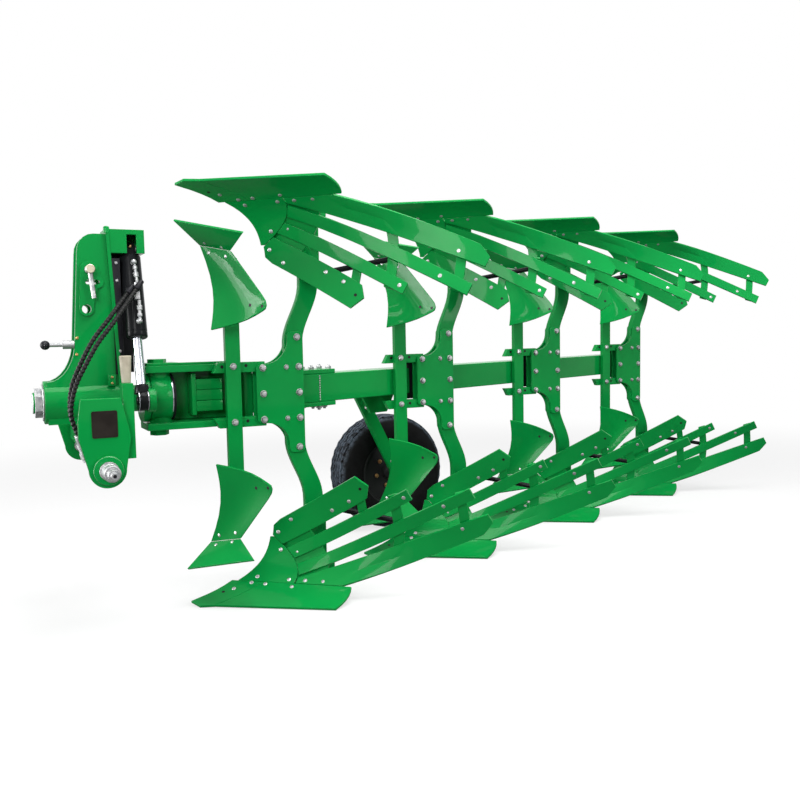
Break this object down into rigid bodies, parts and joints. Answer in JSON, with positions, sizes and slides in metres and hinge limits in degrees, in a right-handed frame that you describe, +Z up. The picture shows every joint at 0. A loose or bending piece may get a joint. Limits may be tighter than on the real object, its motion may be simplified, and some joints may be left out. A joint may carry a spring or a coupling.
{
  "type": "reversible moldboard plough",
  "caption": "Mounted reversible moldboard plough with slatted mouldboards above and below a slanting beam, skimmers, a depth wheel and a turnover headstock.",
  "frame": {"origin": "middle of the plough's box, on the floor it stands on", "axes": "+X forward, the way it is pulled; +Y left; +Z up"},
  "size_m": [4.1746, 1.6971, 1.616],
  "materials": {
    "green_paint": "glossy bright green paint",
    "zinc_steel": "zinc plated",
    "chrome_rod": "hard chrome",
    "black_paint": "satin black paint",
    "rim_black": "black paint",
    "tyre_rubber": "worn rubber",
    "cream_plastic": "plain cream",
    "hose_rubber": "spiral guarded hose"
  },
  "bodies": {
    "headstock": {"hub_tube": "green_paint", "mast_plates": "green_paint", "mast_doublers": "green_paint", "rib_plate": "green_paint", "cylinder_bracket": "green_paint", "cylinder_pin": "zinc_steel", "cross_tube": "green_paint", "hitch_plates": "green_paint", "lower_link_pins": "zinc_steel", "stop_posts": "green_paint", "buffer_block": "cream_plastic", "top_link_pin": "zinc_steel", "lock_plunger": "black_paint", "hose_front": "hose_rubber", "hose_rear": "hose_rubber", "hose_couplers": "zinc_steel"},
    "barrel": {"cylinder_barrel": "black_paint", "port_block": "zinc_steel"},
    "rod": {"cylinder_rod": "chrome_rod"},
    "wheel_arm": {"wheel_arm": "green_paint"},
    "wheel": {"wheel_rim": "rim_black", "wheel_tyre": "tyre_rubber"},
    "frame": {"axle": "zinc_steel", "axle_nut": "zinc_steel", "lug": "green_paint", "rear_hub": "green_paint", "fork_plates": "green_paint", "pivot_bolt": "zinc_steel", "head_box": "green_paint", "beam": "green_paint", "strap_plates": "green_paint", "leg_brackets": "green_paint", "leg_plates": "green_paint", "legs": "green_paint", "frogs": "green_paint", "points": "green_paint", "shares": "green_paint", "shins": "green_paint", "slats_first": "green_paint", "slats_second": "green_paint", "slats_third": "green_paint", "slats_fourth": "green_paint", "carriers": "green_paint", "cross_bars": "green_paint", "stays": "black_paint", "landsides": "green_paint", "skimmer_arms": "green_paint", "skimmer_shanks": "green_paint", "skimmer_boards": "green_paint", "skimmer_shares": "green_paint", "wheel_bracket": "green_paint"}
  },
  "joints": [
    {"name": "turnover", "type": "hinge", "parent": "headstock", "child": "frame", "pos_m": [1.87918, 0.21795, 0.808], "axis": [1, 0, 0], "range_deg": [0, 180]},
    {"name": "cylinder_swing", "type": "hinge", "parent": "headstock", "child": "barrel", "pos_m": [1.71718, 0.21795, 1.364], "axis": [1, 0, 0], "range_deg": [-15.1, 0]},
    {"name": "rod_slide", "type": "slide", "parent": "barrel", "child": "rod", "axis": [0, 0.2605, -0.9655], "range_m": [-0.16988, 0]},
    {"name": "wheel_arm_swing", "type": "hinge", "parent": "frame", "child": "wheel_arm", "pos_m": [0.55318, -0.53405, 0.808], "axis": [0, 1, 0], "range_deg": [0, 127.59]},
    {"name": "wheel_spin", "type": "hinge", "parent": "wheel_arm", "child": "wheel", "pos_m": [0.30318, -0.53405, 0.3], "axis": [0, 1, 0], "continuous": true}
  ],
  "couplings": [
    {"joint": "cylinder_swing", "follows": "rod_slide", "rad_per_m": 1.5512}
  ]
}
